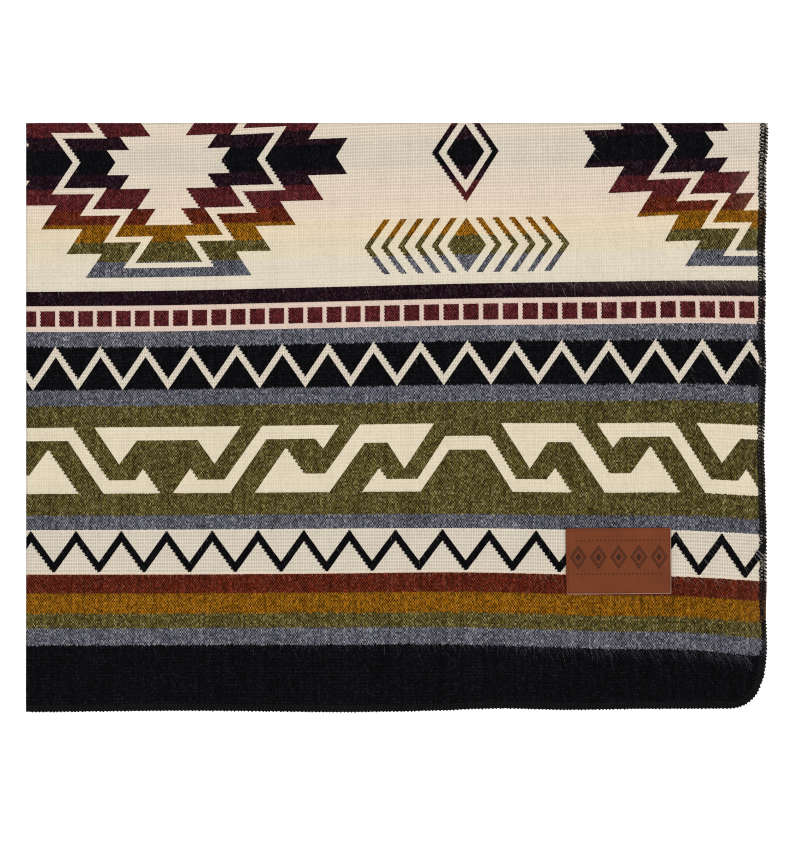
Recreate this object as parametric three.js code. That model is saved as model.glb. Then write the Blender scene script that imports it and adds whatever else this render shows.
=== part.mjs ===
// Corner length of a brushed wool blanket, laid flat, with a sewn leather patch.
// Millimetres, +Z up. The cloth's sewn sides are the right (+X) and the front (-Y),
// the left and the back are clean cuts. The origin is under the middle of the sheet.
import * as THREE from "three";

// Sheet
const SHEET_WIDTH = 565.5;
const SHEET_DEPTH = 449;
const CLOTH_THICKNESS = 2.8;
const CORNER_RADIUS = 30.5;
const GRID_STEP = 19;
const CORNER_STEPS = 7;

// Overlocked rim: the yarn packs the cloth's edge into a low rounded bead
const RIM_SECTION = [
  { inset: 0, rise: -0.9 },
  { inset: 1, rise: 0.2 },
  { inset: 2.8, rise: 0.6 },
  { inset: 5, rise: 0.4 },
  { inset: 6.6, rise: 0 },
];

// How far the sewn right side stands in from a straight line, by height above the front
const RIGHT_SIDE = [
  { at: 0, inset: 3.0 },
  { at: 41, inset: 1.8 },
  { at: 100, inset: 1.2 },
  { at: 178, inset: 3.1 },
  { at: 280, inset: 2.6 },
  { at: 345, inset: 2.1 },
  { at: 391, inset: 1.3 },
  { at: 425, inset: 0.2 },
  { at: SHEET_DEPTH, inset: 0 },
];

// How far the sewn front side stands in from a straight line, by distance from the left
const FRONT_SIDE = [
  { at: 0, inset: 0 },
  { at: 122, inset: 1.2 },
  { at: 244, inset: 0.2 },
  { at: 361, inset: 2.8 },
  { at: 412, inset: 1.8 },
  { at: 473, inset: 2.8 },
  { at: SHEET_WIDTH, inset: 2.6 },
];
const SIDE_WAVE_REACH = 110;

// How far the loose sewn sides lift off the surface, along the same two distances
const RIGHT_LIFT = [
  { at: 0, lift: 0.9 },
  { at: 62, lift: 2.2 },
  { at: 140, lift: 0.4 },
  { at: 235, lift: 1.9 },
  { at: 335, lift: 0.3 },
  { at: SHEET_DEPTH, lift: 1.3 },
];
const FRONT_LIFT = [
  { at: 0, lift: 1.1 },
  { at: 110, lift: 0.2 },
  { at: 245, lift: 1.7 },
  { at: 365, lift: 0.2 },
  { at: 470, lift: 2.0 },
  { at: SHEET_WIDTH, lift: 0.9 },
];
const LIFT_REACH = 78;

// Low unevenness of the top face
const SWELL_HEIGHT = 0.28;
const SWELL_LENGTH = 150;

// Leather patch
const PATCH_WIDTH = 80;
const PATCH_DEPTH = 50.4;
const PATCH_THICKNESS = 1.4;
const PATCH_BEVEL = 0.2;
const PATCH_CORNER = 1.2;
const PATCH_X = 168.7;
const PATCH_Y = -109.4;
const PATCH_TURN = THREE.MathUtils.degToRad(0.4);
const SEAT_GAP = 0.3;
const PATCH_PRESS_REACH = 26;

const LEFT = -SHEET_WIDTH / 2;
const FRONT = -SHEET_DEPTH / 2;

function smooth(value) {
  const t = THREE.MathUtils.clamp(value, 0, 1);
  return t * t * (3 - 2 * t);
}

// Smooth curve through a table's rows, read from the named column
function along(table, column, at) {
  const last = table.length - 1;
  if (at >= table[last].at) {
    return table[last][column];
  }
  const next = Math.max(1, table.findIndex((row) => row.at > at));
  const low = table[next - 1];
  const high = table[next];
  const share = smooth((at - low.at) / (high.at - low.at));
  return low[column] + (high[column] - low[column]) * share;
}

// Straight line through a table's rows, read from the named column
function section(table, key, column, at) {
  const last = table[table.length - 1];
  if (at >= last[key]) {
    return last[column];
  }
  const next = Math.max(1, table.findIndex((row) => row[key] > at));
  const low = table[next - 1];
  const high = table[next];
  const share = (at - low[key]) / (high[key] - low[key]);
  return low[column] + (high[column] - low[column]) * share;
}

function cornerCut(height) {
  if (height >= CORNER_RADIUS) {
    return 0;
  }
  const drop = CORNER_RADIUS - height;
  return CORNER_RADIUS - Math.sqrt(Math.max(0, CORNER_RADIUS * CORNER_RADIUS - drop * drop));
}

function sideLine(height) {
  return SHEET_WIDTH / 2 - along(RIGHT_SIDE, "inset", height);
}

// Distance in from the sewn outline, around the rounded corner as well
function insetFromSewnEdge(x, height) {
  const fromSide = sideLine(height) - x;
  if (fromSide < CORNER_RADIUS && height < CORNER_RADIUS) {
    return CORNER_RADIUS - Math.hypot(CORNER_RADIUS - fromSide, CORNER_RADIUS - height);
  }
  return Math.min(fromSide, height);
}

function frontWave(x, height) {
  const fade = 1 - smooth(height / SIDE_WAVE_REACH);
  return along(FRONT_SIDE, "inset", x - LEFT) * fade;
}

function edgeLift(x, height) {
  const nearSide = 1 - smooth((sideLine(height) - x) / LIFT_REACH);
  const nearFront = 1 - smooth(height / LIFT_REACH);
  const sideLift = along(RIGHT_LIFT, "lift", height) * nearSide;
  const frontLift = along(FRONT_LIFT, "lift", x - LEFT) * nearFront;
  return Math.max(sideLift, frontLift);
}

// The sewn patch presses the cloth flat under it
function swell(x, y) {
  const fromPatchX = Math.abs(x - PATCH_X) - PATCH_WIDTH / 2;
  const fromPatchY = Math.abs(y - PATCH_Y) - PATCH_DEPTH / 2;
  const clear = smooth(Math.max(fromPatchX, fromPatchY) / PATCH_PRESS_REACH - 0.5);
  const waveX = Math.sin((2 * Math.PI * (x + 0.35 * y)) / SWELL_LENGTH);
  const waveY = Math.cos((2 * Math.PI * (y - 0.25 * x)) / (SWELL_LENGTH * 1.3));
  return SWELL_HEIGHT * waveX * waveY * clear;
}

function evenSteps(from, to, step) {
  const count = Math.max(1, Math.round((to - from) / step));
  return Array.from({ length: count + 1 }, (_, i) => from + ((to - from) * i) / count);
}

function rowHeights() {
  const rim = RIM_SECTION.map((row) => row.inset);
  const corner = [];
  for (let i = 1; i <= CORNER_STEPS; i += 1) {
    const angle = (i / CORNER_STEPS) * (Math.PI / 2);
    const height = CORNER_RADIUS * (1 - Math.cos(angle));
    if (height > rim[rim.length - 1] + 1) {
      corner.push(height);
    }
  }
  return [...rim, ...corner, ...evenSteps(CORNER_RADIUS, SHEET_DEPTH, GRID_STEP).slice(1)];
}

function columnInsets() {
  const rim = RIM_SECTION.map((row) => row.inset);
  const inner = evenSteps(rim[rim.length - 1], SHEET_WIDTH, GRID_STEP).slice(1);
  return [...rim, ...inner].reverse();
}

function sheetGeometry() {
  const heights = rowHeights();
  const insets = columnInsets();
  const across = insets.length;
  const perSide = across * heights.length;
  const top = [];
  const under = [];
  heights.forEach((height) => {
    const right = sideLine(height) - cornerCut(height);
    insets.forEach((inset) => {
      const x = LEFT + (right - LEFT) * (1 - inset / SHEET_WIDTH);
      const y = FRONT + height + frontWave(x, height) * (1 - height / SHEET_DEPTH);
      const lift = edgeLift(x, height);
      const rim = section(RIM_SECTION, "inset", "rise", insetFromSewnEdge(x, height));
      top.push(x, y, CLOTH_THICKNESS + lift + rim + swell(x, y));
      under.push(x, y, lift);
    });
  });

  const faces = [];
  const quad = (a, b, c, d) => faces.push(a, b, c, a, c, d);
  for (let j = 0; j < heights.length - 1; j += 1) {
    for (let i = 0; i < across - 1; i += 1) {
      const a = j * across + i;
      quad(a, a + 1, a + 1 + across, a + across);
      quad(perSide + a, perSide + a + across, perSide + a + across + 1, perSide + a + 1);
    }
  }
  const wall = (from, to) => quad(perSide + from, perSide + to, to, from);
  for (let i = 0; i < across - 1; i += 1) {
    wall(i, i + 1);
    const back = (heights.length - 1) * across + i;
    wall(back + 1, back);
  }
  for (let j = 0; j < heights.length - 1; j += 1) {
    const left = j * across;
    wall(left + across, left);
    const right = left + across - 1;
    wall(right, right + across);
  }

  const geometry = new THREE.BufferGeometry();
  geometry.setAttribute("position", new THREE.Float32BufferAttribute([...top, ...under], 3));
  geometry.setIndex(faces);
  geometry.computeVertexNormals();
  return geometry;
}

function patchGeometry() {
  const halfX = PATCH_WIDTH / 2 - PATCH_BEVEL;
  const halfY = PATCH_DEPTH / 2 - PATCH_BEVEL;
  const turn = PATCH_CORNER;
  const outline = new THREE.Shape();
  outline.moveTo(-halfX + turn, -halfY);
  outline.lineTo(halfX - turn, -halfY);
  outline.absarc(halfX - turn, -halfY + turn, turn, -Math.PI / 2, 0, false);
  outline.lineTo(halfX, halfY - turn);
  outline.absarc(halfX - turn, halfY - turn, turn, 0, Math.PI / 2, false);
  outline.lineTo(-halfX + turn, halfY);
  outline.absarc(-halfX + turn, halfY - turn, turn, Math.PI / 2, Math.PI, false);
  outline.lineTo(-halfX, -halfY + turn);
  outline.absarc(-halfX + turn, -halfY + turn, turn, Math.PI, 1.5 * Math.PI, false);
  const geometry = new THREE.ExtrudeGeometry(outline, {
    depth: PATCH_THICKNESS - 2 * PATCH_BEVEL,
    bevelEnabled: true,
    bevelThickness: PATCH_BEVEL,
    bevelSize: PATCH_BEVEL,
    bevelSegments: 1,
    curveSegments: 3,
  });
  geometry.translate(0, 0, PATCH_BEVEL);
  return geometry;
}

const wool = new THREE.MeshStandardMaterial({ color: 0xcdbfab, roughness: 0.95, metalness: 0 });
const leather = new THREE.MeshStandardMaterial({ color: 0x794229, roughness: 0.6, metalness: 0 });

const blanket = new THREE.Mesh(sheetGeometry(), wool);
blanket.name = "blanket";

const patch = new THREE.Mesh(patchGeometry(), leather);
patch.name = "leather_patch";
patch.position.set(PATCH_X, PATCH_Y, CLOTH_THICKNESS + SEAT_GAP);
patch.rotation.z = PATCH_TURN;

const group = new THREE.Group();
group.add(blanket, patch);

export default group;
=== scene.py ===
"""Corner length of a brushed wool blanket with a sewn leather patch, laid flat on a pale floor."""

import math

import bpy
import numpy as np
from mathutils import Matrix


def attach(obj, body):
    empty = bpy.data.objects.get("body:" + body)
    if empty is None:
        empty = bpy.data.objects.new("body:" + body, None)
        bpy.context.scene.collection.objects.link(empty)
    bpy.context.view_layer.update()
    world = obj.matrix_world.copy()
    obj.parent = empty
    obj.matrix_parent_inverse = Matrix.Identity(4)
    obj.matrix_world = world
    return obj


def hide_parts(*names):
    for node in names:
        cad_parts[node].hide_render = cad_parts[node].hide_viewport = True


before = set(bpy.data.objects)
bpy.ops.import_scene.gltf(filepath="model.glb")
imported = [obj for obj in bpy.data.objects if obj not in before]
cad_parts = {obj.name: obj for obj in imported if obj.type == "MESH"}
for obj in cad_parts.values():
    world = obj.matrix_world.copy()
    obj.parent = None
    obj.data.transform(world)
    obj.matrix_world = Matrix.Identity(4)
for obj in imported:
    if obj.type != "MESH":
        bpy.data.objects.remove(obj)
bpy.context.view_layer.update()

# All sizes below are in millimetres. MM turns them into the frame's metres.
MM = 0.001

# Sheet, laid as in the part. The yarn draws its corner in a little tighter
SHEET_WIDTH = 565.5
SHEET_DEPTH = 449.0
CLOTH_THICKNESS = 2.8
CORNER_RADIUS = 27.5
LEFT = -SHEET_WIDTH / 2
FRONT = -SHEET_DEPTH / 2

# (height above the front edge, how far the sewn right side stands in)
RIGHT_SIDE = [
    (0, 2.4), (9, 3.2), (18, 4.1), (28, 2.8), (36, 1.7), (47, 1.0), (78, 1.9), (100, 1.2),
    (140, 1.1), (170, 2.1), (200, 3.1), (231, 2.5), (262, 1.7), (291, 2.4), (321, 1.7),
    (352, 2.2), (383, 1.4), (413, 1.5), (432, 0.2), (SHEET_DEPTH, 0),
]
# (distance from the left side, how far the sewn front side stands in)
FRONT_SIDE = [
    (0, 0), (122, 0.9), (244, 0.0), (285, 0.4), (315, 1.1), (346, 2.3), (361, 2.6), (412, 1.6),
    (473, 2.5), (SHEET_WIDTH, 2.6),
]
SIDE_WAVE_REACH = 110.0
# (the same two distances, how far the loose side lifts off the surface)
RIGHT_LIFT = [(0, 0.9), (62, 2.2), (140, 0.4), (235, 1.9), (335, 0.3), (SHEET_DEPTH, 1.3)]
FRONT_LIFT = [(0, 1.1), (110, 0.2), (245, 1.7), (365, 0.2), (470, 2.0), (SHEET_WIDTH, 0.9)]
LIFT_REACH = 78.0
SWELL_HEIGHT = 0.28
SWELL_LENGTH = 150.0

# Leather patch, as in the part
PATCH_WIDTH = 80.0
PATCH_DEPTH = 50.4
PATCH_THICKNESS = 1.4
PATCH_X = 168.7
PATCH_Y = -109.4
PATCH_TURN = math.radians(0.4)
PATCH_PRESS_REACH = 26.0

# Weave: threads across (warp) and along the bands (weft)
REPEAT = 455.0
HALF_REPEAT = REPEAT / 2
WARP = HALF_REPEAT / 246
WEFT = 1.311

# Bands of the border, by their far edge above the front of the cloth
BLACK_TO = 51.1
GREY_1_TO = 64.0
OLIVE_1_TO = 75.4
GOLD_TO = 90.8
RUST_TO = 105.3
ZIGZAG_TO = 139.4
GREY_2_TO = 150.4
OLIVE_TO = 235.1
GREY_3_TO = 247.6
PEAKS_TO = 280.9
GREY_4_TO = 292.8
LINE_1_TO = 296.8
SQUARES_TO = 309.0
LINE_2_TO = 312.9
PLUM_TO = 324.3
DIAMOND_ROW = 425.6
TOP_ROW = 445.8
MID_FIELD = 375.0

# Linear colours by yarn: the weft yarn, the odd fibres spun into it, and the cream warp as it
# looks over that yarn, which shines through it
YARNS = {
    "black": ((0.0035, 0.0034, 0.0044), (0.012, 0.0115, 0.0145), (0.704, 0.628, 0.512)),
    "blue_grey": ((0.137, 0.142, 0.177), (0.33, 0.32, 0.34), (0.724, 0.651, 0.512)),
    "olive": ((0.116, 0.089, 0.018), (0.29, 0.245, 0.1), (0.733, 0.648, 0.489)),
    "gold": ((0.332, 0.1235, 0.0022), (0.45, 0.2, 0.02), (0.746, 0.643, 0.474)),
    "rust": ((0.1515, 0.018, 0.005), (0.23, 0.06, 0.035), (0.77, 0.66, 0.515)),
    "burgundy": ((0.1215, 0.015, 0.018), (0.19, 0.045, 0.05), (0.757, 0.652, 0.522)),
    "plum": ((0.0168, 0.0032, 0.0077), (0.048, 0.026, 0.036), (0.742, 0.647, 0.522)),
}
WEFT_COLUMN, ODD_COLUMN, CREAM_COLUMN = range(3)
# The cream between the burgundy squares, where more red shines through
ROSY_CREAM = (0.706, 0.558, 0.463, 1)
DARK_THREAD = (0.002, 0.002, 0.0024, 1)

# Where cream lies between two yarns, the change is moved into the cream by this much
UNDER_CREAM = 1.5
BORDER_BANDS = [
    ("black", 0), ("blue_grey", BLACK_TO), ("olive", GREY_1_TO), ("gold", OLIVE_1_TO),
    ("rust", GOLD_TO), ("black", RUST_TO + UNDER_CREAM), ("blue_grey", ZIGZAG_TO - 1.0),
    ("olive", GREY_2_TO), ("blue_grey", OLIVE_TO), ("black", GREY_3_TO), ("blue_grey", PEAKS_TO),
    ("burgundy", GREY_4_TO + UNDER_CREAM), ("plum", LINE_2_TO - UNDER_CREAM),
]
# The same yarns by distance from the diamonds' middle row
FIELD_BURGUNDY_FROM = 21.3
FIELD_GOLD_FROM = 49.6
FIELD_OLIVE_FROM = 63.2
FIELD_BANDS = [
    ("black", 0), ("plum", 9.9), ("burgundy", FIELD_BURGUNDY_FROM), ("rust", 38.0),
    ("gold", FIELD_GOLD_FROM), ("olive", FIELD_OLIVE_FROM), ("blue_grey", 78.5),
]

# Cloth coordinates. Across: (x on the sheet, thread coordinate). It grows a little faster on
# the left, where the cloth was laid tighter.
ACROSS = [
    (-282.8, -109.6), (-174.4, 0.0), (-18.4, 157.5), (124.9, 297.5), (267.4, 437.5), (282.8, 452.6),
]
# Along: how high each seam really lies above the front line, at seven places across
SEAM_PLACES = [0, 108, 218, 334, 443, 506, 565.5]
SEAM_HEIGHTS = [
    (BLACK_TO, [50.8, 51.2, 51.5, 51.5, 48.3, 47.4, 42.3]),
    (RUST_TO, [104.8, 104.9, 105.5, 106.5, 104.2, 103.0, 99.5]),
    (GREY_2_TO, [149.5, 150.0, 150.7, 151.0, 149.7, 149.6, 146.6]),
    (OLIVE_TO, [232.7, 233.6, 235.0, 236.9, 237.2, 237.6, 235.2]),
    (PEAKS_TO, [278.1, 278.5, 280.8, 282.9, 283.5, 284.2, 283.3]),
    (PLUM_TO, [320.2, 321.2, 323.7, 326.6, 328.2, 329.0, 328.8]),
    (MID_FIELD, [369.4, 370.8, 373.3, 376.0, 378.1, 381.2, 382.0]),
    (DIAMOND_ROW, [418.5, 419.5, 422.9, 427.0, 429.7, 431.9, 434.5]),
    (TOP_ROW, [436.7, 438.1, 442.7, 446.9, 450.0, 452.0, 453.5]),
]
WARP_LEAN = 1.5
# How far the pattern slipped across, at the same seven places, by height above the front
SLIPS = [
    (122, [-0.8, -0.2, -0.8, -0.5, 0.0, 0.3, 1.2]),
    (192, [1.2, 0.3, -0.6, -0.9, -1.2, -0.2, -0.2]),
    (264, [-1.1, 0.0, -0.5, -0.3, -0.6, -0.8, -0.9]),
    (300, [-0.2, 0.5, -0.3, -0.5, -0.8, -1.1, -1.2]),
    (356, [-0.4, -0.8, 0.1, 0.2, 0.1, 1.2, 1.6]),
    (384, [0.3, -0.2, -0.3, 0.5, 2.9, 3.0, 2.5]),
    (428, [0.5, 0.2, -1.4, 1.2, 3.9, 3.0, 2.4]),
]


def smooth(value):
    t = np.clip(value, 0, 1)
    return t * t * (3 - 2 * t)


def span_at(places, at):
    """Numbers of the places on either side, and how far between them it lies."""
    high = np.clip(np.searchsorted(places, at, side="right"), 1, len(places) - 1)
    low = high - 1
    return low, high, (at - places[low]) / (places[high] - places[low])


def along(rows, at):
    """Smooth curve through (place, value) rows."""
    places, values = np.array(rows, dtype=float).T
    low, high, share = span_at(places, np.asarray(at, dtype=float))
    return values[low] + (values[high] - values[low]) * smooth(share)


def through(places, values, at):
    """Catmull-Rom curve through evenly or unevenly placed values."""
    places = np.asarray(places, dtype=float)
    values = np.asarray(values, dtype=float)
    slopes = np.gradient(values, places)
    low, high, t = span_at(places, at)
    span = places[high] - places[low]
    rise = values[high] - values[low]
    bend_low = slopes[low] * span - rise
    bend_high = rise - slopes[high] * span
    return values[low] + rise * t + t * (1 - t) * (bend_low * (1 - t) + bend_high * t)


def between_curves(heights, curves, at):
    """Smooth blend of curves that each belong to one height."""
    result = curves[0]
    for k in range(1, len(heights)):
        share = smooth((at - heights[k - 1]) / (heights[k] - heights[k - 1]))
        result = result + (curves[k] - curves[k - 1]) * share
    return result


def corner_cut(height):
    drop = np.clip(CORNER_RADIUS - height, 0, CORNER_RADIUS)
    return CORNER_RADIUS - np.sqrt(CORNER_RADIUS**2 - drop**2)


def side_line(height):
    return SHEET_WIDTH / 2 - along(RIGHT_SIDE, height)


def front_wave(x, height):
    fade = 1 - smooth(height / SIDE_WAVE_REACH)
    return along(FRONT_SIDE, x - LEFT) * fade * (1 - height / SHEET_DEPTH)


def edge_lift(x, height):
    near_side = 1 - smooth((side_line(height) - x) / LIFT_REACH)
    near_front = 1 - smooth(height / LIFT_REACH)
    return np.maximum(
        along(RIGHT_LIFT, height) * near_side, along(FRONT_LIFT, x - LEFT) * near_front
    )


def swell(x, y):
    from_patch_x = np.abs(x - PATCH_X) - PATCH_WIDTH / 2
    from_patch_y = np.abs(y - PATCH_Y) - PATCH_DEPTH / 2
    clear = smooth(np.maximum(from_patch_x, from_patch_y) / PATCH_PRESS_REACH - 0.5)
    wave_x = np.sin(2 * np.pi * (x + 0.35 * y) / SWELL_LENGTH)
    wave_y = np.cos(2 * np.pi * (y - 0.25 * x) / (SWELL_LENGTH * 1.3))
    return SWELL_HEIGHT * wave_x * wave_y * clear


def inset_from_sewn_edge(x, height):
    """Distance in from the sewn outline, around the rounded corner as well."""
    from_side = side_line(height) - x
    in_corner = (from_side < CORNER_RADIUS) & (height < CORNER_RADIUS)
    from_arc = CORNER_RADIUS - np.hypot(CORNER_RADIUS - from_side, CORNER_RADIUS - height)
    return np.where(in_corner, from_arc, np.minimum(from_side, height))


def cloth_coordinates(x, height):
    """Thread coordinates (across, along) of a place on the laid cloth."""
    across = np.interp(x, *np.transpose(ACROSS))
    across = across + WARP_LEAN * smooth((270 - height) / 150)
    at = x - LEFT
    slip_heights = [row[0] for row in SLIPS]
    slip_curves = [through(SEAM_PLACES, row[1], at) for row in SLIPS]
    across = across + between_curves(slip_heights, slip_curves, height)
    seams = [0.0] + [row[0] for row in SEAM_HEIGHTS]
    heights = [along(FRONT_SIDE, at)]
    heights += [through(SEAM_PLACES, row[1], at) for row in SEAM_HEIGHTS]
    result = np.zeros_like(x)
    for k in range(len(seams) - 1):
        low, high = heights[k], heights[k + 1]
        share = (height - low) / (high - low)
        place = seams[k] + share * (seams[k + 1] - seams[k])
        result = np.where((share >= 0) | (k == 0), place, result)
    return across, result


def even_steps(start, end, step):
    return np.linspace(start, end, max(1, round((end - start) / step)) + 1)


# Meshes

def mesh_object(name, points, faces, material, smooth_shaded=True):
    mesh = bpy.data.meshes.new(name)
    mesh.from_pydata((np.asarray(points) * MM).tolist(), [], faces)
    mesh.materials.append(material)
    if smooth_shaded:
        mesh.polygons.foreach_set("use_smooth", [True] * len(mesh.polygons))
    mesh.update()
    piece = bpy.data.objects.new(name, mesh)
    bpy.context.scene.collection.objects.link(piece)
    return piece


def add_cloth_map(mesh, across, along_cloth):
    """Stores thread coordinates, in metres, as the UV map that the wool material reads."""
    layer = mesh.uv_layers.new(name="cloth")
    corner_points = np.empty(len(mesh.loops), dtype=np.int32)
    mesh.loops.foreach_get("vertex_index", corner_points)
    pairs = np.stack([across[corner_points], along_cloth[corner_points]], axis=1) * MM
    layer.data.foreach_set("uv", pairs.astype(np.float32).ravel())


def add_values(piece, name, values):
    """Stores a number at each point, for a material to read."""
    attribute = piece.data.attributes.new(name, "FLOAT", "POINT")
    attribute.data.foreach_set("value", values)


def slab(x, y, top, under):
    """Points and faces of a closed slab: a grid on top, the same grid underneath, and walls."""
    points = np.concatenate([np.stack([x, y, z], axis=2).reshape(-1, 3) for z in (top, under)])
    index = np.arange(x.size).reshape(x.shape)
    a, b = index[:-1, :-1].ravel(), index[:-1, 1:].ravel()
    c, d = index[1:, 1:].ravel(), index[1:, :-1].ravel()
    top_faces = np.stack([a, b, c, d], axis=1)
    under_faces = np.stack([a, d, c, b], axis=1) + x.size
    ring = np.concatenate([index[0, :], index[1:, -1], index[-1, -2::-1], index[-2:0:-1, 0]])
    after = np.roll(ring, -1)
    walls = np.stack([ring + x.size, after + x.size, after, ring], axis=1)
    return points, np.concatenate([top_faces, under_faces, walls]).tolist()


SHEET_STEP = 2.45
RIM_INSETS = [0.0, 0.35, 0.9, 1.8, 2.8, 4.0, 5.2, 6.4]
FRONT_ROWS = [0.0, 0.12, 0.35, 0.8, 1.5, 2.4, 3.4, 4.6, 6.0]
CORNER_ROWS = 20
CLOTH_EDGE_INSET = 0.15
# How far in from the edge the cloth is tucked under the yarn
TUCK_REACH = 6.0
# Between these heights the coloured cloth bulges out on the right, and the yarn draws in
BULGE_FROM = 66.0
BULGE_TO = 104.0
BULGE_EASE = 12.0
EDGE_BULGE = 0.4
# Rounding of the cloth's own edge: how far in, and how much above and below
ROUND_REACH = 1.2
ROUND_ABOVE = 1.1
ROUND_BELOW = 0.9
# Painted shade beside the overlock yarn, with dark fluff off it: full this far in, gone this far in
SHADE_AND_FLUFF_FULL = 3.8
SHADE_AND_FLUFF_REACH = 6.1
SHADE_AND_FLUFF_STRENGTH = 0.43
SHADE_AND_FLUFF_COLOUR = (0.050, 0.047, 0.051, 1)
# (height above the front edge, share of the painted shade and fluff that shows there): least on the
# black front edge, and less beside the cream of the field
SHADE_AND_FLUFF_SHARE = [(0, 0.25), (6, 0.25), (30, 1.0), (368, 1.0), (384, 0.7), (SHEET_DEPTH, 0.7)]
# (height above the front edge, how wide the sewing is there against its usual width)
SEWING_WIDTH = [
    (0, 1.0), (44, 1.0), (53, 0.66), (63, 0.68), (72, 0.82), (90, 0.94), (106, 1.0), (250, 1.0),
    (SHEET_DEPTH, 1.12),
]


def edge_bulge(height):
    grown = smooth((height - BULGE_FROM) / BULGE_EASE) * smooth((BULGE_TO - height) / BULGE_EASE)
    return EDGE_BULGE * grown


def sheet_heights():
    turns = np.arange(1, CORNER_ROWS + 1) / CORNER_ROWS * np.pi / 2
    corner = CORNER_RADIUS * (1 - np.cos(turns))
    corner = corner[corner > RIM_INSETS[-1] + 0.4]
    above = even_steps(CORNER_RADIUS, SHEET_DEPTH, SHEET_STEP)[1:]
    return np.concatenate([FRONT_ROWS, corner, above])


def make_sheet(face_material, back_material):
    inner = even_steps(RIM_INSETS[-1], SHEET_WIDTH, SHEET_STEP)[1:]
    insets = np.concatenate([RIM_INSETS, inner])[::-1]
    height, inset = np.meshgrid(sheet_heights(), insets, indexing="ij")
    right = side_line(height) - corner_cut(height)
    x = LEFT + (right - LEFT) * (1 - inset / SHEET_WIDTH)
    from_edge = inset_from_sewn_edge(x, height)
    y = FRONT + height + front_wave(x, height)
    across, along_cloth = cloth_coordinates(x, y - FRONT)
    # the cloth itself ends just inside the yarn that wraps its edge
    tucked = 1 - smooth(from_edge / TUCK_REACH)
    tuck = CLOTH_EDGE_INSET * tucked
    bulge = edge_bulge(height) * tucked
    x = x + (bulge - tuck) * smooth((x - LEFT) / 300)
    y = y + tuck * (1 - smooth(height / 300))
    lift = edge_lift(x, height)
    from_round = 1 - np.clip(from_edge / ROUND_REACH, 0, 1)
    round_over = 1 - np.sqrt(np.clip(1 - from_round**2, 0, 1))
    body = swell(x, y) + relief(across, along_cloth)
    top = CLOTH_THICKNESS + lift + body - ROUND_ABOVE * round_over
    under = lift + ROUND_BELOW * round_over * smooth(lift / 0.5)
    points, faces = slab(x, y, top, under)
    piece = mesh_object("wool_sheet", points, faces, face_material)
    piece.data.materials.append(back_material)
    rows, columns = x.shape
    top_count = (rows - 1) * (columns - 1)
    slots = np.zeros(len(faces), dtype=np.int32)
    slots[top_count:2 * top_count] = 1
    piece.data.polygons.foreach_set("material_index", slots)
    add_cloth_map(piece.data, np.tile(across.ravel(), 2), np.tile(along_cloth.ravel(), 2))
    width = along(SEWING_WIDTH, height)
    # painted shade beside the sewn yarn, with dark fluff off it, by distance in from the edge
    shade_and_fluff = 1 - smooth((from_edge / width - SHADE_AND_FLUFF_FULL) / (SHADE_AND_FLUFF_REACH - SHADE_AND_FLUFF_FULL))
    shade_and_fluff = shade_and_fluff * along(SHADE_AND_FLUFF_SHARE, height)
    add_values(piece, "shade_and_fluff", np.tile(shade_and_fluff.ravel(), 2))
    return piece


def relief(across, along_cloth):
    """Shallow unevenness of brushed cloth, a few threads wide."""
    coarse = np.sin(across * 0.19 + 2.1 * np.sin(along_cloth * 0.043))
    fine = np.sin(along_cloth * 0.31 + 1.7 * np.sin(across * 0.057 + 1.3))
    return 0.045 * coarse + 0.05 * fine


# Shader arithmetic

def feed(tree, socket, value):
    """Links a number or another socket to a socket, or else sets the socket's own value."""
    if isinstance(value, Number):
        value = value.socket
    if isinstance(value, bpy.types.NodeSocket):
        tree.links.new(value, socket)
    else:
        socket.default_value = value


def feed_all(tree, node, inputs):
    for place, value in inputs:
        feed(tree, node.inputs[place], value)


def math_method(operation):
    return lambda self, *others: self.math(operation, *others)


class Number:
    """A number worked out in a material. Ordinary operators add Math nodes to its tree."""

    def __init__(self, tree, socket):
        self.tree = tree
        self.socket = socket

    def math(self, operation, *others):
        node = self.tree.nodes.new("ShaderNodeMath")
        node.operation = operation
        feed_all(self.tree, node, enumerate((self, *others)))
        return Number(self.tree, node.outputs[0])

    __add__ = math_method("ADD")
    __sub__ = math_method("SUBTRACT")
    __mul__ = math_method("MULTIPLY")
    __abs__ = math_method("ABSOLUTE")
    __gt__ = math_method("GREATER_THAN")
    __lt__ = math_method("LESS_THAN")
    floor = math_method("FLOOR")
    smallest = math_method("MINIMUM")
    largest = math_method("MAXIMUM")
    to_power = math_method("POWER")
    # times a factor, plus an offset
    scaled = math_method("MULTIPLY_ADD")

    def __rsub__(self, other):
        return self.scaled(-1.0, other)

    def wrapped(self, high):
        return self.math("WRAP", high, 0.0)

    def clipped(self, high=1.0):
        return self.largest(0.0).smallest(high)

    def ramp(self, low, high):
        """0 up to low, 1 from high on."""
        return self.scaled(1 / (high - low), -low / (high - low)).clipped()


def any_of(*masks):
    result = masks[0]
    for mask in masks[1:]:
        result = result.largest(mask)
    return result


def between(value, low, high):
    return (value > low) * (value < high)


def stairs(exact, stepped, slope, rows):
    """Half width of a stepped shape: it grows by slope, and starts anew at each (place, width)."""
    place, width = rows[0]
    result = stepped.scaled(slope, width - slope * place)
    for next_place, next_width in rows[1:]:
        jump = next_width - (width + slope * (next_place - place))
        result = (exact > next_place).scaled(jump, result)
        place, width = next_place, next_width
    return result


def inside_outlines(across, exact, stepped, outlines):
    """1 inside any of the closed outlines, by counting the sides that lie further across."""
    crossings = None
    for outline in outlines:
        for start, end in zip(outline, outline[1:] + outline[:1]):
            low, high = sorted((start, end), key=lambda point: point[1])
            if low[1] == high[1]:
                continue
            lean = (high[0] - low[0]) / (high[1] - low[1])
            side = stepped.scaled(lean, low[0] - lean * low[1])
            crosses = between(exact, low[1], high[1]) * (side > across)
            crossings = crosses if crossings is None else crossings + crosses
    return crossings.wrapped(2.0)


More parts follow.
